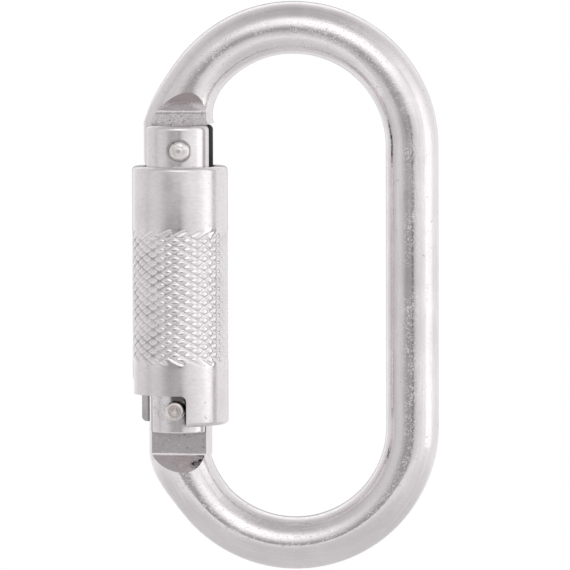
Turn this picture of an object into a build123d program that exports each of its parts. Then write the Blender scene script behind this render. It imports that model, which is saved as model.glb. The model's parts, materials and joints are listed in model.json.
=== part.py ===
from build123d import *
import math
import os

# Oval steel carabiner with a twisting locking sleeve. All sizes are in millimetres.
# +Z is up. The loop stands in the XZ plane, its gate on the -X side and its spine on the +X side.
# The origin is the inner saddle of the top bow, where the loop hangs from what carries it.
# The part is drawn closed, with its sleeve turned to the stop at which the gate can open.

# ---------------------------------------------------------------- loop
bar_d = 10.0              # round bar that the loop is bent from
loop_height = 108.7       # outside, from the top bow to the bottom bow
bow_radius = 22.7         # centreline of both bows
bow_share = 45.0          # degrees of each bow, past its top, where the bar is still round

# ---------------------------------------------------------------- hinge end of the bar
hinge_drop = 0.75         # hinge pin below the top bow's centre
tongue_width = 13.9       # widest part of the pressed end, just above the gate
tongue_thickness = 5.4    # between its two flats
tongue_depth = 8.6        # of the pressed section, before the flats are cut
tongue_lean = 0.3         # how much fuller the section is towards the loop's inside
tongue_gap = 0.2          # from the pressed end down to the gate's ears
hinge_flat_rise = 7.45    # start of the flats above the hinge pin
hinge_shoulder_rise = 3.9  # from the flats up to the full depth of the bar
hinge_leave = 6.7         # pull of the round bar's direction on the pressed end's bend
hinge_arrive = 1.5        # pull of the gate's direction on it
hinge_spread = 2.6        # how late along the bend the section widens
shoulder_fillet = 1.2
cam_offset = 1.2          # centre of the tongue's round corner, inside the hinge pin
cam_radius = 3.2
tongue_edge_inset = 0.15  # of the tongue's outer edge, inside the pressed end's
tongue_side_radius = 2.0  # round its outer edge
tongue_overlap = 0.4      # how far the tongue reaches up into the pressed end
tongue_corner_radius = 1.6  # at its outer corner, inside the gate
tongue_edge_radius = 1.2  # under the pressed end, beside the gate's ears

# ---------------------------------------------------------------- nose end of the bar
latch_rise = 3.05         # latch pin above the bottom bow's centre
nose_width = 12.0
nose_thickness = 4.9
nose_flat_drop = 8.75     # start of the flats below the latch pin
nose_shoulder_rise = 3.3
nose_leave = 1.6
nose_arrive = 3.1
nose_spread = 1.9
nose_tip_rise = 4.7       # tip of the nose above the latch pin
nose_tip_radius = 1.2
notch_clearance = 0.25    # around the latch pin in the nose's notch
hook_undercut = 0.5       # how far the notch's pocket rises above the pin's way in

# ---------------------------------------------------------------- gate
gate_inset = 0.7          # the gate's axis lies this much inside the bows' centreline
gate_d = 13.4             # rod that the gate is turned from, left full at its ears
hinge_pin_inset = 0.7     # hinge pin inside the gate's axis
ear_rise = 4.8            # top of the ears above the hinge pin
ear_length = 11.2
ear_fillet = 0.9
waist_relief = 1.95       # radial, turned off between the ears and the latch end
latch_end_relief = 0.8    # radial, turned off the end that closes over the nose
latch_end_length = 12.0
latch_end_drop = 4.5      # end of the gate below the latch pin
slot_clearance = 0.2      # each side of the tongue and of the nose
hinge_slot_depth = 4.6    # below the hinge pin
nose_slot_clearance = 0.9  # above the nose's tip
plunger_bore_depth = 22.0
step_chamfer = 0.4
gate_end_fillet = 0.3

# ---------------------------------------------------------------- rivets
hinge_shank_d = 3.2
hinge_head_d = 4.1
hinge_head_height = 0.95
hinge_head_round = 0.76
hinge_recess_d = 4.7
hinge_recess_depth = 0.65
latch_shank_d = 3.0
latch_head_d = 3.7
latch_head_inset = 0.5    # top of the head below the sleeve's outer surface
latch_head_dish_d = 2.3
latch_head_dish_depth = 0.35
latch_seat_depth = 0.5
latch_seat_clearance = 0.1  # radial, round the head in its seat
latch_flare = 0.45        # countersunk end at the back, drawn flush
rivet_fit = 0.02          # radial, in the gate, where a rivet is formed tight
running_fit = 0.05        # radial, where a rivet turns in the bar
rivet_edge = 0.25

# ---------------------------------------------------------------- plunger and its spring
plunger_d = 4.3
plunger_length = 5.0
plunger_edge = 0.2
plunger_tail_d = 2.4
plunger_tail_length = 3.5
plunger_fit = 0.08        # radial, in the gate's bore
gate_spring_wire = 0.6
gate_spring_fit = 0.18    # radial, in the gate's bore
gate_spring_turns = 9
gate_spring_facets = 6    # flats round the wire of the drawn coil

# ---------------------------------------------------------------- locking sleeve
spring_room = 2.0         # radial, between the gate's latch end and the sleeve's bore
sleeve_wall = 1.25
sleeve_drop = 3.05        # top of the sleeve below the hinge pin
skirt_drop = 3.0          # lower edge of the sleeve below the latch pin
flange_thickness = 1.5
flange_clearance = 0.15   # radial, round the gate's ears
sleeve_top_fillet = 0.8
sleeve_lower_fillet = 0.9
window_rise = 2.75        # upper edge of the window above the latch pin
window_edge_gap = 0.3     # from the latch head to the window's front edge
window_corner_radius = 0.6
window_back_clearance = 1.75  # from the nose to the window's rear edge
nose_way_clearance = 0.75  # each side of the nose, in the slot that lets it out
nose_way_rise = 1.3       # above the nose's tip
nose_way_corner_radius = 1.0

# ---------------------------------------------------------------- sleeve spring and its lower seat
ring_thickness = 2.0
ring_clearance = 0.15     # radial, round the gate's latch end
ring_press_gap = 0.02     # radial, in the sleeve
ring_above_way = 0.3      # above the slot that lets the nose out
sleeve_spring_fit = 0.65  # radial, in the sleeve's bore
sleeve_spring_wire = 1.2
sleeve_spring_turns = 6
sleeve_spring_facets = 8
spring_seat_gap = 0.02    # between the spring and the ring under it
spring_top_gap = 0.1      # between the spring and the gate's ears

# ---------------------------------------------------------------- places worked out from the sizes
bar_r = bar_d / 2
top_centre_z = -(bow_radius - bar_r)
bottom_centre_z = -(loop_height - bar_d - bow_radius - bar_r)
middle_z = (top_centre_z + bottom_centre_z) / 2
gate_x = -(bow_radius - gate_inset)

hinge_x = gate_x + hinge_pin_inset
hinge_z = top_centre_z - hinge_drop
latch_z = bottom_centre_z + latch_rise

ear_r = gate_d / 2
waist_r = ear_r - waist_relief
latch_end_r = ear_r - latch_end_relief
ear_top_z = hinge_z + ear_rise
ear_foot_z = ear_top_z - ear_length
tongue_foot_z = ear_top_z + tongue_gap
hinge_slot_z = hinge_z - hinge_slot_depth
bore_foot_z = hinge_slot_z - plunger_bore_depth
gate_end_z = latch_z - latch_end_drop
latch_end_top_z = gate_end_z + latch_end_length
nose_foot_z = latch_z - nose_flat_drop
nose_tip_z = latch_z + nose_tip_rise
nose_slot_z = nose_tip_z + nose_slot_clearance
cam_foot_z = hinge_z - cam_radius

hinge_seat_y = ear_r - hinge_recess_depth
latch_seat_y = latch_end_r - latch_seat_depth

sleeve_bore_r = latch_end_r + spring_room
sleeve_r = sleeve_bore_r + sleeve_wall
sleeve_top_z = hinge_z - sleeve_drop
skirt_z = latch_z - skirt_drop
window_z = latch_z + window_rise
nose_way_z = nose_tip_z + nose_way_rise
ring_foot_z = nose_way_z + ring_above_way
ring_top_z = ring_foot_z + ring_thickness

far = 4 * sleeve_r        # reach of cutting solids, well past every wall
past = 1.0                # how far a cut or a joined piece runs past the face that it crosses


def along_y(sketch, y_from, y_to):
    """A sketch drawn in the XZ plane, as a solid from y_from to y_to."""
    return Pos(0, y_to, 0) * extrude(Plane.XZ * sketch, y_to - y_from)


def along_x(sketch, x_from, x_to):
    """A sketch drawn in the YZ plane, as a solid from x_from to x_to."""
    return Pos(x_from, 0, 0) * extrude(Plane.YZ * sketch, x_to - x_from)


def upright(radius, z_from, z_to):
    """A cylinder on the gate's axis."""
    height = z_to - z_from
    return Pos(gate_x, 0, z_from) * extrude(Circle(radius), height)


def pin(radius, x, z, y_from, y_to):
    """A cylinder along Y."""
    return along_y(Pos(x, z) * Circle(radius), y_from, y_to)


# ================================================================ the bar
def round_bar():
    """The spine and both bows, up to where the two ends begin to widen."""
    section = Pos(bow_radius, 0, 0) * Circle(bar_r)
    spine = Pos(0, 0, bottom_centre_z) * extrude(section, top_centre_z - bottom_centre_z)
    axis = Axis((0, 0, 0), (0, -1, 0))
    bow = Pos(0, 0, top_centre_z) * revolve(section, axis, 90 + bow_share)
    return spine + bow + mirror(bow, Plane.XY.offset(middle_z))


def pressed_end(end_z, width, depth, lean, leave, arrive, spread):
    """The end of the top bow. It widens as it bends from the bow down to the gate's axis.
    lean makes the section towards the loop's inside fuller than the outside."""
    turn = math.radians(bow_share)
    x = -bow_radius * math.sin(turn)
    z = top_centre_z + bow_radius * math.cos(turn)
    onward = (x - leave * math.cos(turn), 0, z - leave * math.sin(turn))
    bend = Bezier((x, 0, z), onward, (gate_x, 0, end_z + arrive), (gate_x, 0, end_z))
    sections = []
    steps = 4
    for step in range(steps + 1):
        place = step / steps
        share = place ** spread
        half_width = bar_r + (width / 2 - bar_r) * share
        half_depth = bar_r + (depth / 2 - bar_r) * share
        along = bend % place
        plane = Plane(origin=bend @ place, x_dir=(along.Z, 0, -along.X), z_dir=along)
        sections.append(plane * egg(half_width, half_depth, lean * share))
    return loft(sections)


def egg(half_width, half_depth, lean):
    """An ellipse whose side towards -X is deeper than the other by its lean."""
    if lean == 0:
        return Ellipse(half_width, half_depth)
    points = []
    steps = 16
    for step in range(steps):
        angle = 2 * math.pi * step / steps
        depth = half_depth * math.sin(angle) * (1 - lean * math.cos(angle))
        points.append((half_width * math.cos(angle), depth))
    return make_face(Spline(*points, periodic=True))


def hinge_end():
    """The top bow runs out into a wide pressed end, and from it a flat tongue hangs into the gate."""
    end = pressed_end(tongue_foot_z, tongue_width, tongue_depth, tongue_lean,
                      hinge_leave, hinge_arrive, hinge_spread)
    shoulder = flat_cutter(tongue_thickness / 2, hinge_z + hinge_flat_rise, hinge_shoulder_rise)
    for side in (0, 180):
        end -= Rot(0, 0, side) * shoulder
    end -= rounded_off(gate_x + tongue_width / 2, tongue_foot_z, 1, -1, tongue_edge_radius)
    return end + tongue()


def tongue():
    """A plate with a rounded outer edge, a flat foot, and a round corner on which the plunger rides."""
    outer_x = gate_x - tongue_width / 2 + tongue_edge_inset
    inner_x = hinge_x + cam_offset + cam_radius
    section = Pos((outer_x + inner_x) / 2, 0) * Rectangle(inner_x - outer_x, tongue_thickness)
    section = fillet(section.vertices().group_by(Axis.X)[0], tongue_side_radius)
    plate = Pos(0, 0, cam_foot_z) * extrude(section, tongue_foot_z + tongue_overlap - cam_foot_z)
    plate -= rounded_off(outer_x, cam_foot_z, -1, -1, tongue_corner_radius)
    return plate - rounded_off(inner_x, cam_foot_z, 1, -1, cam_radius)


def rounded_off(x, z, side_x, side_z, radius):
    """What the corner at x, z loses to a round. The sides, 1 or -1, say which way it points."""
    round_edge = Pos(x - side_x * radius, z - side_z * radius) * Circle(radius)
    return along_y(Pos(x, z) * Rectangle(2 * radius, 2 * radius) - round_edge, -bar_d, bar_d)


def flat_cutter(half_thick, start_z, rise):
    """Cuts one side of the bar down to a flat, from a sloping shoulder that begins at start_z.
    The shoulder rises from the flat where rise is positive, and sinks where it is negative."""
    slope = rise / (bar_r - half_thick)
    away = math.copysign(far, rise)
    corner = (half_thick, start_z)
    slope_end = (far, start_z + slope * (far - half_thick))
    outline = make_face(Polyline(corner, slope_end, (far, start_z - away), (half_thick, start_z - away),
                                 close=True))
    inner = outline.vertices().sort_by_distance((*corner, 0))[0]
    return along_x(fillet(inner, shoulder_fillet), -far, far)


def nose_end():
    """The bottom bow runs up into the nose, a flat blade with a hooked notch for the latch pin."""
    mirrored_foot_z = 2 * middle_z - nose_foot_z
    end = pressed_end(mirrored_foot_z, nose_width, bar_d, 0, nose_leave, nose_arrive, nose_spread)
    end = mirror(end, Plane.XY.offset(middle_z))
    foot = end.faces().sort_by_distance((gate_x, 0, nose_foot_z))[0]
    end += extrude(foot, nose_tip_z - nose_foot_z, dir=(0, 0, 1))
    shoulder = flat_cutter(nose_thickness / 2, nose_foot_z, -nose_shoulder_rise)
    for side in (0, 180):
        end -= Rot(0, 0, side) * shoulder
    for side in (1, -1):
        end -= rounded_off(gate_x + side * nose_width / 2, nose_tip_z, side, 1, nose_tip_radius)
    return end - notch()


def notch():
    """The latch pin's way into the nose: an arc about the hinge pin, with a pocket above its end."""
    way = latch_shank_d / 2 + notch_clearance
    swing = math.hypot(gate_x - hinge_x, hinge_z - latch_z)
    ring = Pos(hinge_x, hinge_z) * (Circle(swing + way) - Circle(swing - way))
    ring &= Pos(gate_x + nose_width / 2, latch_z) * Rectangle(nose_width, bar_d)
    end = Pos(gate_x, latch_z) * Circle(way)
    pocket = Pos(gate_x, latch_z + hook_undercut) * Circle(way)
    return along_y(ring + end + pocket, -bar_d, bar_d)


def make_body():
    bar = round_bar() + hinge_end() + nose_end()
    pin_hole = pin(hinge_shank_d / 2 + running_fit, hinge_x, hinge_z, -bar_d, bar_d)
    return bar - pin_hole


# ================================================================ the gate
def make_gate():
    ear = upright(ear_r, ear_foot_z, ear_top_z)
    ear = fillet(ear.edges().group_by(Axis.Z)[-1], ear_fillet)
    ear = chamfer(ear.edges().group_by(Axis.Z)[0], step_chamfer)
    waist = upright(waist_r, latch_end_top_z, ear_foot_z)
    latch_end = upright(latch_end_r, gate_end_z, latch_end_top_z)
    latch_end = chamfer(latch_end.edges().group_by(Axis.Z)[-1], step_chamfer)
    latch_end = fillet(latch_end.edges().group_by(Axis.Z)[0], gate_end_fillet)
    gate = ear + waist + latch_end

    gate -= slot(tongue_thickness + 2 * slot_clearance, hinge_slot_z, ear_top_z + far)
    gate -= slot(nose_thickness + 2 * slot_clearance, gate_end_z - far, nose_slot_z)
    gate -= upright(plunger_d / 2 + plunger_fit, bore_foot_z, hinge_slot_z + past)

    gate -= pin(hinge_shank_d / 2 + rivet_fit, hinge_x, hinge_z, -ear_r, ear_r)
    gate -= pin(hinge_recess_d / 2, hinge_x, hinge_z, hinge_seat_y, far)
    gate -= pin(hinge_recess_d / 2, hinge_x, hinge_z, -far, -hinge_seat_y)

    gate -= pin(latch_shank_d / 2 + rivet_fit, gate_x, latch_z, -ear_r, ear_r)
    gate -= pin(latch_head_d / 2 + latch_seat_clearance, gate_x, latch_z, -far, -latch_seat_y)
    return gate - latch_countersink(rivet_fit)


def slot(width, z_from, z_to):
    """A slot through the gate along X."""
    return Pos(gate_x, 0, (z_from + z_to) / 2) * Box(far, width, z_to - z_from)


def latch_countersink(fit):
    """The flared back end of the latch rivet, or with a fit the seat that it fills."""
    foot_r = latch_shank_d / 2 + fit
    outline = Polyline((0, 0), (foot_r, 0), (foot_r + latch_flare, latch_flare), (0, latch_flare), close=True)
    flare = revolve(Plane.XZ * make_face(outline), Axis.Z)
    return Location((gate_x, latch_seat_y - latch_flare, latch_z), (-90, 0, 0)) * flare


# ================================================================ rivets, plunger and spring
def make_hinge_rivet():
    """A shank through both ears and the tongue, with a low domed head at each end."""
    shank = pin(hinge_shank_d / 2, hinge_x, hinge_z, -hinge_seat_y, hinge_seat_y)
    head = pin(hinge_head_d / 2, hinge_x, hinge_z, hinge_seat_y, hinge_seat_y + hinge_head_height)
    head = fillet(head.edges().group_by(Axis.Y)[-1], hinge_head_round)
    return shank + head + mirror(head, Plane.XZ)


def make_latch_rivet():
    """The pin that the nose hooks on. Its button head runs in the sleeve's window."""
    reach = sleeve_r - latch_head_inset
    shank = pin(latch_shank_d / 2, gate_x, latch_z, -latch_seat_y, latch_seat_y)
    head = pin(latch_head_d / 2, gate_x, latch_z, -reach, -latch_seat_y)
    head = fillet(head.edges().group_by(Axis.Y)[0], rivet_edge)
    dish = pin(latch_head_dish_d / 2, gate_x, latch_z, -far, latch_head_dish_depth - reach)
    return shank + head - dish + latch_countersink(0)


def make_plunger():
    """A round plunger on the gate's axis. Its tail keeps the spring straight."""
    foot_z = cam_foot_z - plunger_length
    head = upright(plunger_d / 2, foot_z, cam_foot_z)
    head = chamfer(head.edges().group_by(Axis.Z)[0], plunger_edge)
    return head + upright(plunger_tail_d / 2, foot_z - plunger_tail_length, foot_z)


def coil(mean_r, wire, facets, turns, z_from, z_to):
    """A helical spring on the gate's axis, its wire inside z_from to z_to."""
    height = z_to - z_from - wire
    path = Helix(height / turns, height, mean_r, center=(gate_x, 0, z_from + wire / 2))
    section = Plane(path @ 0, z_dir=path % 0) * RegularPolygon(wire / 2, facets)
    return sweep(section, path, is_frenet=True)


def make_gate_spring():
    """It stands on the foot of the gate's bore and pushes the plunger up."""
    mean_r = plunger_d / 2 + plunger_fit - gate_spring_fit - gate_spring_wire / 2
    top_z = cam_foot_z - plunger_length
    return coil(mean_r, gate_spring_wire, gate_spring_facets, gate_spring_turns, bore_foot_z, top_z)


# ================================================================ locking sleeve
def make_sleeve():
    """A tube with a flange that runs on the gate's ears, cut away for the latch head and the nose."""
    sleeve = upright(sleeve_r, skirt_z, sleeve_top_z)
    sleeve = fillet(sleeve.edges().group_by(Axis.Z)[-1], sleeve_top_fillet)
    sleeve = fillet(sleeve.edges().group_by(Axis.Z)[0], sleeve_lower_fillet)
    sleeve -= upright(sleeve_bore_r, skirt_z - past, sleeve_top_z - flange_thickness)
    sleeve -= upright(ear_r + flange_clearance, skirt_z, sleeve_top_z + past)
    return sleeve - window() - nose_way()


def window():
    """The latch head's window: from beside the head, round the outside, to just behind the nose."""
    edge_x = gate_x + latch_head_d / 2 + window_edge_gap
    back_y = nose_thickness / 2 + window_back_clearance
    foot_z = skirt_z - past
    outline = Pos(edge_x - sleeve_r, (foot_z + window_z) / 2) * Rectangle(2 * sleeve_r, window_z - foot_z)
    corner = outline.vertices().sort_by_distance((edge_x, window_z, 0))[0]
    return along_y(fillet(corner, window_corner_radius), -far, back_y)


def nose_way():
    """The taller slot in the outer wall, through which the nose leaves as the gate opens."""
    width = nose_thickness + 2 * nose_way_clearance
    foot_z = skirt_z - past
    outline = Pos(0, (foot_z + nose_way_z) / 2) * Rectangle(width, nose_way_z - foot_z)
    outline = fillet(outline.vertices().group_by(Axis.Y)[-1], nose_way_corner_radius)
    return along_x(outline, gate_x - far, gate_x)


def make_guide_ring():
    """Pressed into the sleeve. It runs on the gate's latch end and carries the sleeve's spring."""
    ring = upright(sleeve_bore_r - ring_press_gap, ring_foot_z, ring_top_z)
    return ring - upright(latch_end_r + ring_clearance, ring_foot_z - past, ring_top_z + past)


def make_sleeve_spring():
    """It winds round the gate's waist, from the ring up to the ears, and turns the sleeve back."""
    mean_r = sleeve_bore_r - sleeve_spring_fit - sleeve_spring_wire / 2
    foot_z = ring_top_z + spring_seat_gap
    top_z = ear_foot_z - spring_top_gap
    return coil(mean_r, sleeve_spring_wire, sleeve_spring_facets, sleeve_spring_turns, foot_z, top_z)


# ================================================================ pieces
pieces = {
    "body": make_body,
    "gate": make_gate,
    "hinge_rivet": make_hinge_rivet,
    "latch_rivet": make_latch_rivet,
    "gate_plunger": make_plunger,
    "gate_spring": make_gate_spring,
    "locking_sleeve": make_sleeve,
    "sleeve_guide_ring": make_guide_ring,
    "sleeve_spring": make_sleeve_spring,
}

os.makedirs("parts", exist_ok=True)
for name, make in pieces.items():
    solid = make()
    solid.label = name
    export_step(solid, f"parts/{name}.step")
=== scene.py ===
import json
import math

import bmesh
import bpy
from mathutils import Matrix, Vector


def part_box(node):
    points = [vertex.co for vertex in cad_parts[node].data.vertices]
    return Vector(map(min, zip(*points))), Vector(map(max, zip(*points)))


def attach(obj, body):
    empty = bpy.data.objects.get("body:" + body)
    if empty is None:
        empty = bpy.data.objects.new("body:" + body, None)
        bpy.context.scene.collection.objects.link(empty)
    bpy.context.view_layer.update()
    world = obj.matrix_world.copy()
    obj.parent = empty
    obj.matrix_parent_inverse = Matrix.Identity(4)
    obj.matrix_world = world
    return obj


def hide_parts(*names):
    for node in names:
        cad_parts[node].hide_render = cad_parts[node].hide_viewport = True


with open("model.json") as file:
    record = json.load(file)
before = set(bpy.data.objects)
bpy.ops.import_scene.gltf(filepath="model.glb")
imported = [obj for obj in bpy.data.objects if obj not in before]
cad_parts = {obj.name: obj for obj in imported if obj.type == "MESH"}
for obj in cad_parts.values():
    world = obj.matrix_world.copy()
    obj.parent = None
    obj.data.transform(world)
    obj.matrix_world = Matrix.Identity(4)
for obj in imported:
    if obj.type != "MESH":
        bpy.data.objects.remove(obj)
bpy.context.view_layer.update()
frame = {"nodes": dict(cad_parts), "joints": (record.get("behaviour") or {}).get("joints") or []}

# An oval steel carabiner with a twisting locking sleeve, in metres, as the photograph shows it.
MM = 0.001


def size_of(node):
    low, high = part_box(node)
    return Vector(low), Vector(high)


# ---------------------------------------------------------------- places, read from the frame
body_low, body_high = size_of("body")
sleeve_low, sleeve_high = size_of("locking_sleeve")
gate_low, gate_high = size_of("gate")
ring_low, ring_high = size_of("sleeve_guide_ring")
hinge_rivet_low, hinge_rivet_high = size_of("hinge_rivet")
latch_rivet_low, latch_rivet_high = size_of("latch_rivet")

BAR_R = body_high.y
BOW_R = body_high.x - BAR_R
TOP_CENTRE_Z = body_high.z - BAR_R - BOW_R
BOTTOM_CENTRE_Z = body_low.z + BAR_R + BOW_R
GATE_X = (gate_low.x + gate_high.x) / 2
SLEEVE_R = sleeve_high.y
HINGE = Vector(next(j for j in frame["joints"] if j["name"] == "gate_swing")["pos_m"])
LATCH_Z = (latch_rivet_low.z + latch_rivet_high.z) / 2
HINGE_RIVET_X = (hinge_rivet_low.x + hinge_rivet_high.x) / 2

# Places inside those boxes, as in the solids.
HINGE_SHOULDER_Z = gate_high.z + 2.4 * MM   # about where the hinge end's flats run out
NOSE_FOOT_Z = LATCH_Z - 8.75 * MM           # where the nose's flats do
TONGUE_HALF = 2.7 * MM                      # half the tongue's thickness
SLOT_HALF = TONGUE_HALF + 0.2 * MM          # half the width of the gate's slots
TONGUE_SLOT_FOOT = HINGE.z - 4.7 * MM       # just under the floor of its upper slot
NOSE_SLOT_TOP = LATCH_Z + 5.7 * MM          # just over the top of its lower one
HINGE_SEAT_R = 2.36 * MM                    # the recess round the hinge rivet's head
LATCH_SEAT_R = 1.96 * MM                    # the seat round the latch rivet's head


# ================================================================ shader building
class Nodes:
    """Adds and links the nodes of one material or world."""

    def __init__(self, tree):
        self.tree = tree
        tree.nodes.clear()

    def add(self, kind, values=None, **settings):
        node = self.tree.nodes.new(kind)
        for name, value in settings.items():
            setattr(node, name, value)
        for socket, value in (values or {}).items():
            self.feed(node.inputs[socket], value)
        return node

    def feed(self, socket, value):
        if isinstance(value, bpy.types.NodeSocket):
            self.tree.links.new(value, socket)
        else:
            socket.default_value = value

    def math(self, operation, *values):
        return self.add("ShaderNodeMath", dict(enumerate(values)), operation=operation).outputs[0]

    def times(self, first, second):
        return self.math("MULTIPLY", first, second)

    def most(self, first, second):
        return self.math("MAXIMUM", first, second)

    def length(self, first, second):
        """The long side of a right triangle that has these two sides."""
        return self.math("SQRT", self.math("ADD", self.times(first, first), self.times(second, second)))

    def split(self, vector):
        return self.add("ShaderNodeSeparateXYZ", {0: vector}).outputs

    def join(self, x, y, z):
        return self.add("ShaderNodeCombineXYZ", {0: x, 1: y, 2: z}).outputs[0]

    def remap(self, value, low, high, to_low=0.0, to_high=1.0):
        """Eases from to_low to to_high while a value goes from low to high, and holds still beyond them."""
        values = {"Value": value, "From Min": low, "From Max": high, "To Min": to_low, "To Max": to_high}
        return self.add("ShaderNodeMapRange", values, interpolation_type="SMOOTHSTEP").outputs[0]

    def noise(self, place, scale, detail, roughness, distortion=0.0):
        values = {"Vector": place, "Scale": scale, "Detail": detail, "Roughness": roughness,
                  "Distortion": distortion}
        return self.add("ShaderNodeTexNoise", values).outputs[0]

    def blend(self, factor, first, second):
        """Mixes two numbers."""
        return self.add("ShaderNodeMix", {0: factor, 2: first, 3: second}, data_type="FLOAT").outputs[0]

    def tint(self, factor, first, second):
        """Mixes two colours."""
        node = self.add("ShaderNodeMix", data_type="RGBA")
        for socket, value in zip((node.inputs[0], node.inputs[6], node.inputs[7]), (factor, first, second)):
            self.feed(socket, (*value, 1) if isinstance(value, tuple) else value)
        return node.outputs[2]

    def ramp(self, value, stops):
        """The brightness at a value, on straight lines through stops of (value, brightness)."""
        node = self.add("ShaderNodeValToRGB", {0: value})
        scale = node.color_ramp
        scale.interpolation = "LINEAR"
        while len(scale.elements) < len(stops):
            scale.elements.new(0.5)
        for element, (place, level) in zip(scale.elements, stops):
            element.position = place
            element.color = (level, level, level, 1)
        return node.outputs[0]

    def bump(self, height, distance, under=None):
        """Bumps the bare surface, or the bumped one under it."""
        values = {"Height": height, "Distance": distance}
        if under:
            values["Normal"] = under
        return self.add("ShaderNodeBump", values).outputs[0]


def material(name):
    made = bpy.data.materials.new(name)
    made.use_nodes = True
    return made, Nodes(made.node_tree)


def finish_metal(nodes, color, roughness, normal):
    values = {"Base Color": color, "Metallic": 1.0, "Roughness": roughness, "Normal": normal}
    shader = nodes.add("ShaderNodeBsdfPrincipled", values)
    nodes.add("ShaderNodeOutputMaterial", {"Surface": shader.outputs[0]})


# ================================================================ mesh building
def mesh_from(made, name):
    """Turns the faces of a closed shape outwards and keeps it as a mesh."""
    bmesh.ops.recalc_face_normals(made, faces=made.faces)
    mesh = bpy.data.meshes.new(name)
    made.to_mesh(mesh)
    made.free()
    return mesh


def add_object(name, data):
    added = bpy.data.objects.new(name, data)
    bpy.context.collection.objects.link(added)
    return added


# ================================================================ the knurl's sizes
KNURL_COLUMNS = 19              # diamonds round the sleeve
KNURL_PITCH = 1.68 * MM         # from one diamond down to the next
GROOVE_DEPTH = 0.20 * MM
FALLING_SHARE = 0.9             # depth of the falling grooves, as a share of the rising ones'
RISING_SIDES = (0.36, 0.66)     # width of a rising groove's two sides, as shares of half a diamond
FALLING_SIDES = (0.52, 0.40)
TOP_DROP = 0.06 * MM            # how much a diamond's round top falls to the groove
KNURL_TOP = -33.3 * MM          # where the rising grooves fade out, on average
KNURL_FOOT = -59.4 * MM         # where the falling ones do
KNURL_FADE = 0.8 * MM
KNURL_SHIFT = 0.9 * MM          # each set of grooves ends this much short of the other
KNURL_TURN = math.radians(-8.7)   # a crossing of two grooves, from the front towards the spine
KNURL_CROSSING = -35.47 * MM    # and its height
CELL_STEPS = 12                 # mesh steps across one diamond


# ================================================================ steel
STEEL = (0.800, 0.763, 0.775)
STEEL_DULL = (0.720, 0.680, 0.692)
STEEL_DARK = (0.330, 0.305, 0.312)
RIVET_STEEL = (0.830, 0.795, 0.790)
RIVET_DULL = (0.730, 0.685, 0.672)
SPRING_STEEL = (0.450, 0.450, 0.460)
SPRING_DULL = (0.300, 0.300, 0.310)
FLAT_STEEL = (0.470, 0.445, 0.462)
# the brown of the painted shade on the run-outs
RUN_OUT_SHADE_BROWN = (0.330, 0.275, 0.285)
# the dark of painted shade in the gate's slots, on the tongue in them, in the sleeve's bore and knurl
# grooves, beside the sleeve and on the rivets' heads; also the dark of the real chips in the flats
SHADE_AND_CHIP_STEEL = (0.170, 0.168, 0.172)

BURNISHED_ROUGHNESS = 0.11
DRY_ROUGHNESS = 0.45

# How far the marks in the steel rise or sink.
WAVE_RISE = 0.012 * MM
PIT_DEPTH = 0.05 * MM
DRAWN_LINES = 0.004 * MM
TURNED_LINES = 0.001 * MM
GRIT_RISE = 0.022 * MM
SCRIBBLE_RISE = 0.05 * MM
FLECK_RISE = 0.05 * MM


class BarSpot:
    """Where a point is on the bar: how far along the bar, how far proud of the bow's centreline, its depth
    from the loop's plane, and its place drawn out along the bar."""

    def __init__(self, nodes):
        self.place = nodes.add("ShaderNodeTexCoord").outputs["Object"]
        self.normal = nodes.split(nodes.add("ShaderNodeTexCoord").outputs["Normal"])
        self.x, y, self.z = nodes.split(self.place)
        centre_z = nodes.math("MINIMUM", nodes.most(self.z, BOTTOM_CENTRE_Z), TOP_CENTRE_Z)
        rise = nodes.math("SUBTRACT", self.z, centre_z)
        turn = nodes.math("ARCTAN2", rise, nodes.math("ABSOLUTE", self.x))
        self.along = nodes.math("MULTIPLY_ADD", turn, BOW_R, centre_z)
        self.proud = nodes.math("SUBTRACT", nodes.length(rise, self.x), BOW_R)
        self.depth = nodes.math("ABSOLUTE", y)
        across = nodes.math("MULTIPLY_ADD", nodes.math("SIGN", self.x), 0.1, self.proud)
        self.drawn = nodes.join(nodes.times(self.along, 0.05), y, across)


def plating(nodes, place, drawn, bright, dull, roughness, lines, peel):
    """Bright zinc: its colour, its roughness and its small unevenness. drawn is the place drawn out along the
    grain, and lines and peel are how far its lines and its grainy patches rise."""
    grain = nodes.noise(drawn, 2300, 3, 0.6)
    waves = nodes.noise(place, 420, 2, 0.5)
    pebbles = nodes.noise(place, 3000, 2, 0.5)
    specks = nodes.noise(place, 1500, 3, 0.6)
    cloud = nodes.noise(place, 130, 4, 0.6)
    pits = nodes.remap(specks, 0.67, 0.74)
    shine = nodes.remap(nodes.math("MULTIPLY_ADD", cloud, 0.9, nodes.times(grain, 0.6)), 0.55, 0.95)
    color = nodes.tint(shine, dull, bright)
    color = nodes.tint(nodes.times(pits, 0.6), color, STEEL_DARK)
    rough = nodes.remap(cloud, 0.35, 0.65, roughness, roughness + 0.06)
    patchy = nodes.times(pebbles, nodes.remap(cloud, 0.45, 0.62, 0.12, 1.0))
    bump = nodes.bump(waves, WAVE_RISE)
    bump = nodes.bump(grain, lines, under=bump)
    bump = nodes.bump(patchy, peel, under=bump)
    bump = nodes.bump(pits, -PIT_DEPTH, under=bump)
    return color, rough, bump


def between(nodes, value, low, high, soft):
    """1 between two values, fading to 0 outside them."""
    rise = nodes.remap(value, low - soft, low)
    fall = nodes.remap(value, high + soft, high)
    return nodes.times(rise, fall)


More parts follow.
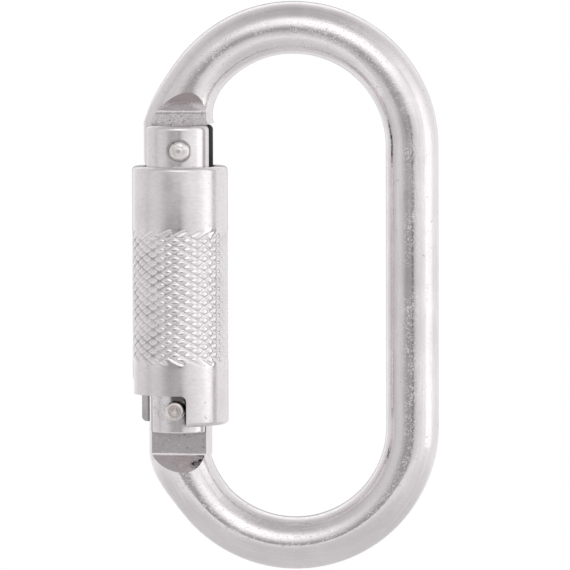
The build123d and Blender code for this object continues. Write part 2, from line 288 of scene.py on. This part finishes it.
def milled_flats(nodes, spot, color, rough, bump):
    """The flats at the bar's two ends: scribbled by the cutter, scored, flecked and chipped. The nose's are
    greyer and the hinge end's are rougher, with a darker scored line where they run out."""
    facing = nodes.remap(nodes.math("ABSOLUTE", spot.normal[1]), 0.985, 0.998)
    flat = nodes.times(facing, nodes.remap(spot.depth, TONGUE_HALF + 0.2 * MM, TONGUE_HALF + 0.05 * MM))
    at_hinge = nodes.math("GREATER_THAN", spot.z, (HINGE.z + LATCH_Z) / 2)
    scribble = nodes.noise(nodes.join(nodes.times(spot.along, 1.5), 0.0, spot.proud), 1900, 5, 0.75, 1.6)
    run_out_line = between(nodes, spot.z, HINGE_SHOULDER_Z - 0.12 * MM, HINGE_SHOULDER_Z + 0.1 * MM, 0.15 * MM)
    scored = nodes.remap(nodes.math("MULTIPLY_ADD", run_out_line, -0.12, scribble), 0.50, 0.40)
    scored = nodes.times(scored, flat)
    flecks = nodes.times(nodes.remap(nodes.noise(spot.place, 2300, 2, 0.6), 0.62, 0.68), flat)
    chips = nodes.times(nodes.remap(nodes.noise(spot.place, 1700, 2, 0.6), 0.36, 0.31), flat)
    color = nodes.tint(nodes.times(flat, nodes.blend(at_hinge, 0.9, 0.0)), color, FLAT_STEEL)
    color = nodes.tint(nodes.times(scored, nodes.blend(at_hinge, 0.35, 0.75)), color, STEEL_DARK)
    color = nodes.tint(nodes.times(flecks, 0.8), color, STEEL)
    color = nodes.tint(nodes.times(chips, 0.7), color, SHADE_AND_CHIP_STEEL)
    rough = nodes.blend(flat, rough, nodes.blend(at_hinge, 0.30, 0.55))
    bump = nodes.bump(nodes.times(flat, scribble), SCRIBBLE_RISE, under=bump)
    bump = nodes.bump(flecks, FLECK_RISE, under=bump)
    return color, rough, bump


def shaded_run_outs(nodes, spot, color):
    """Painted shade in a darker brown on the run-outs between the flats and the round bar, picked by which
    way they face. At the hinge end it fades in upwards.
    """
    tilted = nodes.remap(nodes.math("ABSOLUTE", spot.normal[2]), 0.03, 0.16)
    straight = nodes.remap(nodes.math("ABSOLUTE", spot.normal[0]), 0.22, 0.10)
    run_out = nodes.times(tilted, straight)
    upper = between(nodes, spot.z, HINGE_SHOULDER_Z, HINGE_SHOULDER_Z + 4.2 * MM, 0.2 * MM)
    fade = nodes.remap(spot.z, HINGE_SHOULDER_Z + 1.1 * MM, HINGE_SHOULDER_Z + 2.4 * MM, 0.0, 0.85)
    lower = between(nodes, spot.z, NOSE_FOOT_Z - 3.8 * MM, NOSE_FOOT_Z, 0.2 * MM)
    shaded = nodes.times(run_out, nodes.most(nodes.times(upper, fade), nodes.times(lower, 0.4)))
    return nodes.tint(shaded, color, RUN_OUT_SHADE_BROWN)


def tongue_slot_shade(nodes, spot, color, rough):
    """Painted shade on the tongue's faces inside the gate's slot, on the loop's inner side, dark and dry."""
    inner_side = between(nodes, spot.x, GATE_X + 3 * MM, GATE_X + 20 * MM, 1 * MM)
    tongue = nodes.times(nodes.remap(spot.depth, TONGUE_HALF + 0.1 * MM, TONGUE_HALF),
                         between(nodes, spot.z, HINGE.z - 7 * MM, gate_high.z, 0.1 * MM))
    painted_shade = nodes.times(tongue, inner_side)
    return nodes.tint(painted_shade, color, SHADE_AND_CHIP_STEEL), nodes.blend(painted_shade, rough, DRY_ROUGHNESS)


def bar_steel():
    """Bright zinc over a drawn bar with gritty patches, and its two pressed and milled ends."""
    made, nodes = material("bar_steel")
    spot = BarSpot(nodes)
    color, rough, bump = plating(nodes, spot.place, spot.drawn, STEEL, STEEL_DULL,
                                 roughness=0.07, lines=DRAWN_LINES, peel=0.036 * MM)
    grit = nodes.times(nodes.remap(nodes.noise(spot.place, 3300, 1, 0.5), 0.60, 0.70),
                       nodes.remap(nodes.noise(spot.place, 160, 3, 0.6), 0.40, 0.60, 0.2, 1.0))
    bump = nodes.bump(grit, GRIT_RISE, under=bump)
    color, rough, bump = milled_flats(nodes, spot, color, rough, bump)
    # painted shade on the run-outs
    color = shaded_run_outs(nodes, spot, color)
    # painted shade on the tongue inside the gate's slot
    color, rough = tongue_slot_shade(nodes, spot, color, rough)
    finish_metal(nodes, color, rough, bump)
    return made


def gate_sleeve_shade(nodes, place):
    """Painted shade where the sleeve shades the gate's front, dark and dull: a little beside the window's
    side edge and in mottled patches round the latch rivet, and more in a band along the window's top edge,
    above the latch rivet."""
    x, _, z = nodes.split(place)
    edge_shade = nodes.times(between(nodes, x, GATE_X + 1.4 * MM, GATE_X + 2.0 * MM, 1.3 * MM),
                         between(nodes, z, LATCH_Z - 2.6 * MM, LATCH_Z + 2 * MM, 1.2 * MM))
    mottled_shade = nodes.times(nodes.remap(nodes.noise(place, 800, 5, 0.7, 0.8), 0.46, 0.66),
                       between(nodes, z, LATCH_Z - 1.5 * MM, LATCH_Z + 6 * MM, 3 * MM))
    gap_shade = nodes.times(between(nodes, x, GATE_X - 0.8 * MM, GATE_X + 2.3 * MM, 0.6 * MM),
                         between(nodes, z, LATCH_Z + 1.8 * MM, LATCH_Z + 3.4 * MM, 0.4 * MM))
    return nodes.most(nodes.most(nodes.times(edge_shade, 0.35), nodes.times(mottled_shade, 0.3)), nodes.times(gap_shade, 0.9))


def gate_painted_shade(nodes, place):
    """Painted shade: 1 inside the two slots that take the tongue and the nose, less in the rivets' seats, and
    the shade of the sleeve on the gate's front.
    """
    x, y, z = nodes.split(place)
    inside = nodes.remap(nodes.math("ABSOLUTE", y), SLOT_HALF + 0.12 * MM, SLOT_HALF + 0.02 * MM)
    slots = nodes.most(nodes.math("GREATER_THAN", z, TONGUE_SLOT_FOOT),
                       nodes.math("LESS_THAN", z, NOSE_SLOT_TOP))
    inside = nodes.times(inside, slots)
    seats = 0.0
    for seat_x, seat_z, radius in ((HINGE_RIVET_X, HINGE.z, HINGE_SEAT_R), (GATE_X, LATCH_Z, LATCH_SEAT_R)):
        away = nodes.length(nodes.math("SUBTRACT", x, seat_x), nodes.math("SUBTRACT", z, seat_z))
        seats = nodes.most(seats, nodes.remap(away, radius + 0.04 * MM, radius, 0.0, 0.2))
    return nodes.most(nodes.most(inside, seats), gate_sleeve_shade(nodes, place))


def rivet_head_shade(nodes, place):
    """Painted shade: random dark patches on the rivets' heads that stand in for their dark crescents of shade
    and dark reflection.
    """
    return nodes.remap(nodes.noise(place, 430, 3, 0.6, 0.8), 0.52, 0.64, 0.0, 0.38)


def sleeve_painted_shade(nodes, place):
    """Painted shade: most of the sleeve's bore, fading out through the thickness of its wall, and a part of
    the knurl's grooves, patchy and more on the loop's outer side, away from the brighter lights."""
    x, y, z = nodes.split(place)
    radius = nodes.length(nodes.math("SUBTRACT", x, GATE_X), y)
    bore = nodes.times(nodes.remap(radius, SLEEVE_R - 0.8 * MM, SLEEVE_R - 1.2 * MM, 0.0, 0.85),
                       between(nodes, z, sleeve_low.z + 0.05 * MM, sleeve_high.z - 0.4 * MM, 0.04 * MM))
    patchy_shade = nodes.times(nodes.remap(nodes.noise(place, 300, 2, 0.5), 0.38, 0.6, 0.3, 1.0),
                         nodes.remap(x, GATE_X + 3 * MM, GATE_X - 3 * MM, 0.1, 0.6))
    grooves = nodes.times(nodes.remap(radius, SLEEVE_R - 0.12 * MM, SLEEVE_R - 0.23 * MM), patchy_shade)
    in_band = between(nodes, z, KNURL_FOOT + 0.6 * MM, KNURL_TOP - 0.6 * MM, 0.8 * MM)
    return nodes.most(bore, nodes.times(grooves, in_band))


def knurled_band(nodes, place):
    """1 where the sleeve is knurled."""
    return between(nodes, nodes.split(place)[2], KNURL_FOOT, KNURL_TOP, 0.5 * MM)


def turned_steel(name, bright=STEEL, dull=STEEL_DULL, roughness=0.14, peel=0.006 * MM,
                 painted_shade=None, burnished=None):
    """Bright zinc over a turned surface. The shade function, where one is given, gives the share of each
    place that is painted dark and dry as shade, and burnished the share that a tool pressed smooth."""
    made, nodes = material(name)
    place = nodes.add("ShaderNodeTexCoord").outputs["Object"]
    x, y, z = nodes.split(place)
    turned = nodes.join(nodes.times(x, 0.4), nodes.times(y, 0.4), z)
    color, rough, bump = plating(nodes, place, turned, bright, dull, roughness, TURNED_LINES, peel)
    if burnished:
        rough = nodes.blend(burnished(nodes, place), rough, BURNISHED_ROUGHNESS)
    # painted shade: darken and dry each place by the share the shade function gives
    if painted_shade:
        share = painted_shade(nodes, place)
        color = nodes.tint(share, color, SHADE_AND_CHIP_STEEL)
        rough = nodes.blend(share, rough, DRY_ROUGHNESS)
    finish_metal(nodes, color, rough, bump)
    return made


def dress(node, made):
    """Gives a CAD node's object a material."""
    mesh = frame["nodes"][node].data
    mesh.materials.clear()
    mesh.materials.append(made)


dress("body", bar_steel())
# the gate carries painted shade in its slots, at its rivets' seats and beside the sleeve
gate_steel = turned_steel("gate_steel", painted_shade=gate_painted_shade)
dress("gate", gate_steel)
dress("gate_plunger", gate_steel)
# the rivets carry painted shade in random patches on their heads
rivet_steel = turned_steel("rivet_steel", RIVET_STEEL, RIVET_DULL, roughness=0.22, peel=0.03 * MM,
                           painted_shade=rivet_head_shade)
dress("hinge_rivet", rivet_steel)
dress("latch_rivet", rivet_steel)
# the sleeve carries painted shade in its bore and knurl grooves
sleeve_steel = turned_steel("sleeve_steel", roughness=0.22, peel=0.002 * MM,
                            painted_shade=sleeve_painted_shade, burnished=knurled_band)
dress("locking_sleeve", sleeve_steel)
dress("sleeve_guide_ring", sleeve_steel)
spring_steel = turned_steel("spring_steel", SPRING_STEEL, SPRING_DULL, roughness=0.3)
dress("gate_spring", spring_steel)
dress("sleeve_spring", spring_steel)


# ================================================================ the knurled sleeve
TOP_ROUND = 0.8 * MM
LOWER_ROUND = 0.9 * MM
FLANGE = 1.5 * MM
BORE_R = ring_high.x - GATE_X + 0.02 * MM
EAR_HOLE_R = gate_high.x - GATE_X + 0.15 * MM
CORNER_STEPS = 6            # straight steps round a quarter of a circle
RAGGED_WAVES = ((5, 1.0), (11, 2.3), (17, 4.1))   # how many go round the sleeve, and the seed's share


def groove(place, before, after):
    """How deep a groove is, and how far the diamonds' round tops have fallen towards it, from 0 to 1. Its
    lowest line is where place is whole. before and after are the widths of its two sides."""
    off = ((place + 0.5) % 1.0 - 0.5) * 2
    return max(0.0, 1.0 - (off / after if off > 0 else -off / before)), (1.0 - abs(off)) ** 2


def ragged(angle, seed):
    """An uneven number from -1 to 1, smooth round the sleeve."""
    return sum(math.sin(count * angle + share * seed) for count, share in RAGGED_WAVES) / len(RAGGED_WAVES)


def smooth_step(value):
    value = min(1.0, max(0.0, value))
    return value * value * (3 - 2 * value)


def pressed(angle, z, top, foot, seed):
    """How fully a set of grooves is pressed at a height, between its two ragged ends."""
    top += 0.5 * KNURL_FADE * ragged(angle, seed)
    foot += 0.5 * KNURL_FADE * ragged(angle, seed + 5)
    return smooth_step((top - z) / KNURL_FADE) * smooth_step((z - foot) / KNURL_FADE)


def knurl(angle, z):
    """How deep the knurl is cut at an angle from the front towards the spine, and a height."""
    column = (angle - KNURL_TURN) * KNURL_COLUMNS / (2 * math.pi)
    row = (z - KNURL_CROSSING) / KNURL_PITCH
    rising, rising_top = groove(column - row, *RISING_SIDES)
    falling, falling_top = groove(column + row, *FALLING_SIDES)
    rising_share = pressed(angle, z, KNURL_TOP, KNURL_FOOT + KNURL_SHIFT, 1.0)
    falling_share = pressed(angle, z, KNURL_TOP - KNURL_SHIFT, KNURL_FOOT, 2.0)
    struck = max(rising * rising_share, falling * falling_share * FALLING_SHARE)
    return GROOVE_DEPTH * struck + TOP_DROP * (rising_top * rising_share + falling_top * falling_share)


def sleeve_rows():
    """The sleeve's section as (radius, height, is it knurled), down its outside and back up its bore."""
    rows = []
    for step in range(CORNER_STEPS + 1):
        turn = math.pi / 2 * step / CORNER_STEPS
        rows.append((SLEEVE_R - TOP_ROUND * (1 - math.sin(turn)),
                     sleeve_high.z - TOP_ROUND * (1 - math.cos(turn)), False))
    z = KNURL_TOP + KNURL_FADE
    while z > KNURL_FOOT - KNURL_FADE:
        rows.append((SLEEVE_R, z, True))
        z -= KNURL_PITCH / CELL_STEPS
    for step in range(CORNER_STEPS + 1):
        turn = math.pi / 2 * step / CORNER_STEPS
        rows.append((SLEEVE_R - LOWER_ROUND * (1 - math.cos(turn)),
                     sleeve_low.z + LOWER_ROUND * (1 - math.sin(turn)), False))
    rows.append((BORE_R, sleeve_low.z, False))
    rows.append((BORE_R, sleeve_high.z - FLANGE, False))
    rows.append((EAR_HOLE_R, sleeve_high.z - FLANGE, False))
    rows.append((EAR_HOLE_R, sleeve_high.z, False))
    return rows


def sleeve_shell():
    """The whole sleeve as a closed tube, knurled but not yet cut away."""
    made = bmesh.new()
    columns = KNURL_COLUMNS * CELL_STEPS
    loops = []
    for radius, z, knurled in sleeve_rows():
        loop = []
        for column in range(columns):
            angle = KNURL_TURN + 2 * math.pi * column / columns
            reach = radius - (knurl(angle, z) if knurled else 0)
            loop.append(made.verts.new((GATE_X + reach * math.sin(angle), -reach * math.cos(angle), z)))
        loops.append(loop)
    for upper, lower in zip(loops, loops[1:] + loops[:1]):
        for column in range(columns):
            after = (column + 1) % columns
            made.faces.new((upper[column], lower[column], lower[after], upper[after]))
    return mesh_from(made, "knurled_sleeve")


def rounded_outline(low, high, corners, radius):
    """A rectangle between two points (across, up), with some corners rounded. A corner is named by (0 or 1
    across, 0 or 1 up)."""
    outline = []
    quarter = math.pi / 2
    for right, top, first in ((0, 0, 2 * quarter), (1, 0, -quarter), (1, 1, 0), (0, 1, quarter)):
        x = (low, high)[right][0]
        z = (low, high)[top][1]
        if (right, top) not in corners:
            outline.append((x, z))
            continue
        centre_x = x + (1 - 2 * right) * radius
        centre_z = z + (1 - 2 * top) * radius
        for step in range(CORNER_STEPS + 1):
            turn = first + quarter * step / CORNER_STEPS
            outline.append((centre_x + radius * math.cos(turn), centre_z + radius * math.sin(turn)))
    return outline


def rounded_block(low, high, corners, radius, along):
    """A cutting block between two points, with some of the corners rounded that show along axis 0 or 1."""
    across = 1 - along
    outline = rounded_outline((low[across], low[2]), (high[across], high[2]), corners, radius)
    made = bmesh.new()
    rings = []
    for depth in (low[along], high[along]):
        ring = []
        for x, z in outline:
            place = [0, 0, z]
            place[across] = x
            place[along] = depth
            ring.append(made.verts.new(place))
        rings.append(ring)
    near, far = rings
    made.faces.new(near)
    made.faces.new(far)
    for index in range(len(outline)):
        after = (index + 1) % len(outline)
        made.faces.new((near[index], near[after], far[after], far[index]))
    return add_object("cutter", mesh_from(made, "cutter"))


def apply_modifiers(piece):
    shape = piece.evaluated_get(bpy.context.evaluated_depsgraph_get())
    mesh = bpy.data.meshes.new_from_object(shape)
    old = piece.data
    piece.modifiers.clear()
    piece.data = mesh
    bpy.data.meshes.remove(old)


def cut_away(piece, cutters):
    for cutter in cutters:
        cut = piece.modifiers.new("cut", "BOOLEAN")
        cut.operation = "DIFFERENCE"
        cut.solver = "EXACT"
        cut.object = cutter
    apply_modifiers(piece)
    for cutter in cutters:
        bpy.data.objects.remove(cutter)


# The window lets the latch rivet show, and the nose way lets the nose out. As the photograph shows it, the
# window is 0.15 mm taller and wider than in the solid, and its corner is rounder.
WINDOW_EDGE_X = latch_rivet_high.x + 0.35 * MM
WINDOW_TOP = LATCH_Z + 2.9 * MM
WINDOW_BACK = 4.2 * MM
WINDOW_ROUND = 1.1 * MM
NOSE_WAY_TOP = ring_low.z - 0.3 * MM
NOSE_WAY_HALF = 3.2 * MM
NOSE_WAY_ROUND = 1.0 * MM


def add_sleeve():
    sleeve = add_object("knurled_sleeve", sleeve_shell())
    beyond = 20 * MM
    foot = sleeve_low.z - 1 * MM
    window = rounded_block((GATE_X - beyond, -beyond, foot), (WINDOW_EDGE_X, WINDOW_BACK, WINDOW_TOP),
                           corners=[(1, 1)], radius=WINDOW_ROUND, along=1)
    nose_way = rounded_block((GATE_X - beyond, -NOSE_WAY_HALF, foot), (GATE_X, NOSE_WAY_HALF, NOSE_WAY_TOP),
                             corners=[(0, 1), (1, 1)], radius=NOSE_WAY_ROUND, along=0)
    cut_away(sleeve, [window, nose_way])
    sleeve.data.materials.clear()
    sleeve.data.materials.append(sleeve_steel)
    sleeve.data.shade_smooth()
    sleeve.data.set_sharp_from_angle(angle=math.radians(40))
    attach(sleeve, "sleeve")
    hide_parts("locking_sleeve")


add_sleeve()


# ================================================================ the rivets
LATHE_SIDES = 64
LATCH_SHANK_R = 1.5 * MM
LATCH_FLARE = 0.45 * MM
HINGE_SHANK_R = 1.6 * MM
HINGE_HEAD = 0.95 * MM      # height of each of its heads

# Sections of the struck heads from the middle out to the seat, as shares of (radius, height).
DOME = [(0.0, 0.93), (0.10, 0.95), (0.20, 0.97), (0.27, 0.93), (0.33, 0.85), (0.42, 0.82), (0.55, 0.76),
        (0.68, 0.67), (0.80, 0.55), (0.89, 0.42), (0.96, 0.27), (0.99, 0.12), (1.0, 0.0)]
DISH = [(0.0, 0.70), (0.14, 0.71), (0.24, 0.64), (0.36, 0.62), (0.46, 0.70), (0.54, 0.86), (0.62, 0.95),
        (0.70, 1.0), (0.80, 0.98), (0.89, 0.91), (0.95, 0.80), (0.99, 0.66), (1.0, 0.5), (1.0, 0.0)]


def turned_piece(name, node, profile, centre_x, centre_z):
    """Turns a profile of (radius, y) about the line through a rivet, and replaces the CAD rivet with it."""
    made = bmesh.new()
    rings = []
    for radius, y in profile:
        if radius == 0:
            rings.append([made.verts.new((centre_x, y, centre_z))])
            continue
        ring = []
        for side in range(LATHE_SIDES):
            turn = 2 * math.pi * side / LATHE_SIDES
            x = centre_x + radius * math.cos(turn)
            ring.append(made.verts.new((x, y, centre_z + radius * math.sin(turn))))
        rings.append(ring)
    for first, second in zip(rings, rings[1:]):
        for side in range(LATHE_SIDES):
            after = (side + 1) % LATHE_SIDES
            corners = [first[side % len(first)], first[after % len(first)],
                       second[after % len(second)], second[side % len(second)]]
            made.faces.new(list(dict.fromkeys(corners)))
    mesh = mesh_from(made, name)
    mesh.materials.append(rivet_steel)
    mesh.shade_smooth()
    mesh.set_sharp_from_angle(angle=math.radians(50))
    piece = add_object(name, mesh)
    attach(piece, "gate")
    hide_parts(node)


def head(shape, radius, seat_y, top_y):
    """A head's section as (radius, y)."""
    return [(radius * out, seat_y + (top_y - seat_y) * up) for out, up in shape]


def add_rivets():
    hinge_r = (hinge_rivet_high.x - hinge_rivet_low.x) / 2
    hinge_seat = hinge_rivet_high.y - HINGE_HEAD
    back = head(DOME, hinge_r, hinge_seat, hinge_rivet_high.y) + [(HINGE_SHANK_R, hinge_seat)]
    front = [(radius, -y) for radius, y in reversed(back)]
    turned_piece("hinge_rivet_formed", "hinge_rivet", back + front, HINGE_RIVET_X, HINGE.z)

    latch_r = (latch_rivet_high.x - latch_rivet_low.x) / 2    # of the flare, so the head fills its seat
    latch_seat = latch_rivet_high.y
    front = [(radius, -y) for radius, y in head(DISH, latch_r, latch_seat, -latch_rivet_low.y)]
    shank = [(LATCH_SHANK_R, -latch_seat), (LATCH_SHANK_R, latch_seat - LATCH_FLARE)]
    back = [(LATCH_SHANK_R + LATCH_FLARE, latch_seat), (0, latch_seat)]
    turned_piece("latch_rivet_formed", "latch_rivet", front + shank + back, GATE_X, LATCH_Z)


add_rivets()


# ================================================================ floor, studio and camera
AIM = Vector((0, 0, -44 * MM))   # the point that the camera looks at
CAMERA_DISTANCE = 1200 * MM
CAMERA_AZIMUTH = math.radians(7.0)
CAMERA_ELEVATION = math.radians(3.7)
CAMERA_ROLL = math.radians(-0.165)
SENSOR = 36.0
IMAGE = 570                      # the photograph's side, in pixels
FOCAL_PIXELS = 6278.1            # its lens
AIM_PIXEL = (294.23, 283.75)     # where it shows the point looked at, from its top left corner
FLOOR_Z = body_low.z - 25 * MM
FLOOR_R = 210 * MM
FLOOR_SIDES = 96
SHADOW_R = 60 * MM          # the floor takes the loop's shadow this far out
WHITE_R = 0.85 * FLOOR_R    # and is white from here on
FLOOR_GREY = (0.9, 0.9, 0.9, 1)
WHITE = (1, 1, 1, 1)

forward = Vector((-math.sin(CAMERA_AZIMUTH) * math.cos(CAMERA_ELEVATION),
                  math.cos(CAMERA_AZIMUTH) * math.cos(CAMERA_ELEVATION),
                  -math.sin(CAMERA_ELEVATION)))


def add_camera():
    data = bpy.data.cameras.new("camera")
    data.sensor_width = SENSOR
    data.lens = FOCAL_PIXELS / IMAGE * SENSOR
    data.shift_x = -(AIM_PIXEL[0] - IMAGE / 2) / IMAGE
    data.shift_y = (AIM_PIXEL[1] - IMAGE / 2) / IMAGE
    data.clip_start = 0.01
    data.clip_end = 50
    camera = add_object("camera", data)
    level_right = Vector((math.cos(CAMERA_AZIMUTH), math.sin(CAMERA_AZIMUTH), 0))
    level_up = level_right.cross(forward)
    right = level_right * math.cos(CAMERA_ROLL) + level_up * math.sin(CAMERA_ROLL)
    up = -level_right * math.sin(CAMERA_ROLL) + level_up * math.cos(CAMERA_ROLL)
    place = AIM - forward * CAMERA_DISTANCE
    turn = Matrix((right, up, -forward)).transposed().to_4x4()
    camera.matrix_world = Matrix.Translation(place) @ turn
    bpy.context.scene.camera = camera


def shown_directly(nodes):
    """1 for the rays that show the background itself: seen, mirrored or looked through."""
    rays = nodes.add("ShaderNodeLightPath").outputs
    return nodes.most(nodes.most(rays["Is Camera Ray"], rays["Is Glossy Ray"]), rays["Is Transmission Ray"])


def add_floor():
    """A round pale floor under the hanging loop. Near the loop it takes its shadow; its rim is white."""
    mesh = bpy.data.meshes.new("floor")
    rim = []
    for step in range(FLOOR_SIDES):
        turn = 2 * math.pi * step / FLOOR_SIDES
        rim.append((FLOOR_R * math.cos(turn), FLOOR_R * math.sin(turn), FLOOR_Z))
    mesh.from_pydata(rim, [], [tuple(range(FLOOR_SIDES))])
    floor = add_object("floor", mesh)
    made, nodes = material("floor_white")
    place = nodes.add("ShaderNodeTexCoord").outputs["Object"]
    x, y, _ = nodes.split(place)
    far_off = nodes.remap(nodes.length(x, y), SHADOW_R, WHITE_R)
    paint = nodes.add("ShaderNodeBsdfDiffuse", {"Color": FLOOR_GREY})
    glow = nodes.add("ShaderNodeEmission", {"Color": WHITE, "Strength": 1.0})
    share = nodes.times(far_off, shown_directly(nodes))
    mix = nodes.add("ShaderNodeMixShader", {0: share, 1: paint.outputs[0], 2: glow.outputs[0]})
    nodes.add("ShaderNodeOutputMaterial", {"Surface": mix.outputs[0]})
    mesh.materials.append(made)


# Brightness of the light tent by the angle in degrees from its middle: to the right, above, to the left and
# below. It is dim in the middle, where the lens looks in, and opposite, so that the back shows its form too.
TENT_RIGHT = [(0, 0.26), (6, 0.50), (10, 0.70), (18, 0.84), (36, 0.96), (56, 1.12), (66, 1.45), (88, 1.32),
              (104, 1.02), (140, 0.97), (152, 1.1), (160, 0.75), (168, 0.45), (180, 0.35)]
TENT_ABOVE = [(0, 0.20), (5, 0.33), (11, 0.88), (18, 1.15), (24, 1.45), (34, 1.55), (44, 1.35), (54, 0.85),
              (64, 0.60), (98, 0.55), (122, 0.75), (140, 1.2), (152, 1.3), (162, 0.8), (170, 0.45),
              (180, 0.35)]
TENT_LEFT = [(0, 0.26), (6, 0.44), (26, 0.43), (38, 0.58), (50, 0.77), (66, 0.82), (76, 0.77), (84, 0.66),
             (92, 0.80), (104, 0.84), (125, 0.86), (140, 1.0), (152, 1.15), (160, 0.8), (168, 0.45),
             (180, 0.35)]
TENT_BELOW = [(0, 0.20), (5, 0.45), (10, 0.75), (20, 0.91), (30, 0.97), (90, 0.97), (140, 0.95), (160, 0.7),
              (170, 0.45), (180, 0.35)]
TENT_FULL = 2.0                 # the brightness that a ramp's white stands for
TENT_DROP = math.radians(8.8)   # how far its middle is below the lens


def add_studio():
    """A white light tent whose four sides differ in brightness. Seen directly it is plain white."""
    world = bpy.data.worlds.new("studio")
    world.use_nodes = True
    bpy.context.scene.world = world
    nodes = Nodes(world.node_tree)
    direction = nodes.add("ShaderNodeTexCoord").outputs["Generated"]
    right = Vector((math.cos(CAMERA_AZIMUTH), math.sin(CAMERA_AZIMUTH), 0))
    middle = Matrix.Rotation(TENT_DROP, 3, right) @ -forward
    above = middle.cross(right)

    def towards(axis):
        node = nodes.add("ShaderNodeVectorMath", {0: direction, 1: tuple(axis)}, operation="DOT_PRODUCT")
        return node.outputs["Value"]

    half_turns = nodes.math("DIVIDE", nodes.math("ARCCOSINE", towards(middle)), math.pi)

    def panel(stops):
        return nodes.ramp(half_turns, [(degrees / 180, level / TENT_FULL) for degrees, level in stops])

    side = towards(right)
    rise = towards(above)
    sideways = nodes.blend(nodes.math("GREATER_THAN", side, 0.0), panel(TENT_LEFT), panel(TENT_RIGHT))
    upright = nodes.blend(nodes.math("GREATER_THAN", rise, 0.0), panel(TENT_BELOW), panel(TENT_ABOVE))
    side_2 = nodes.times(side, side)
    rise_2 = nodes.times(rise, rise)
    total = nodes.math("ADD", nodes.math("ADD", side_2, rise_2), 1e-6)
    level = nodes.blend(nodes.math("DIVIDE", rise_2, total), sideways, upright)
    seen = nodes.add("ShaderNodeLightPath").outputs["Is Camera Ray"]
    strength = nodes.blend(seen, nodes.times(level, TENT_FULL), 1.0)
    glow = nodes.add("ShaderNodeBackground", {"Color": WHITE, "Strength": strength})
    nodes.add("ShaderNodeOutputWorld", {"Surface": glow.outputs[0]})


add_camera()
add_floor()
add_studio()
bpy.context.scene.view_settings.view_transform = "Standard"
